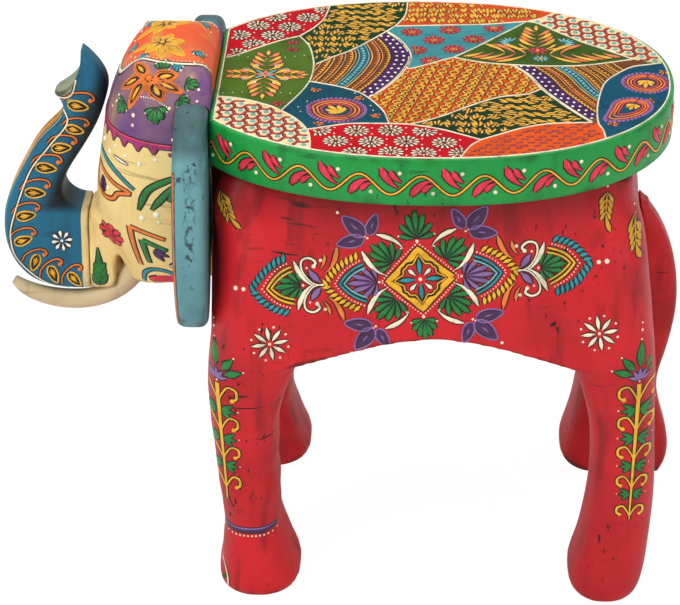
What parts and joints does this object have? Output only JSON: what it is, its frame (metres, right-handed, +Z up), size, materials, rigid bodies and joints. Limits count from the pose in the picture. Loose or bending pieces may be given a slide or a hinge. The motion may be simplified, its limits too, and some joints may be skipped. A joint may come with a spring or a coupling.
{
  "type": "carved elephant stool",
  "caption": "Low stool carved and painted as an elephant with a raised trunk, with a flat oval seat on its back, for sitting or as a side table.",
  "frame": {"origin": "on the floor, at the bottom centre of the bounding box", "axes": "+X towards the tail, +Y to the elephant's right, +Z up"},
  "size_m": [0.5111, 0.295, 0.405],
  "materials": {
    "seat_paint": "satin paint in many colours, green on the rim",
    "red_paint": "satin red paint, rubbed dark at the edges",
    "face_paint": "satin cream paint with orange and purple bands",
    "trunk_paint": "satin blue paint",
    "ear_paint": "satin light blue paint, worn",
    "tusk_paint": "bone-coloured paint",
    "bare_wood": "unpainted"
  },
  "bodies": {
    "root": {"seat_left_board": "seat_paint", "seat_middle_board": "seat_paint", "seat_right_board": "seat_paint", "front_left_leg": "red_paint", "front_right_leg": "red_paint", "rear_left_leg": "red_paint", "rear_right_leg": "red_paint", "chest_block": "red_paint", "belly_core": "red_paint", "rump_block": "red_paint", "left_flank": "red_paint", "right_flank": "red_paint", "head_block": "face_paint", "trunk": "trunk_paint", "left_ear": "ear_paint", "right_ear": "ear_paint", "left_tusk": "tusk_paint", "right_tusk": "tusk_paint", "tail": "red_paint", "seat_dowels": "bare_wood", "body_dowels": "bare_wood", "neck_dowels": "bare_wood", "trunk_dowel": "bare_wood", "ear_dowels": "bare_wood"}
  },
  "joints": []
}
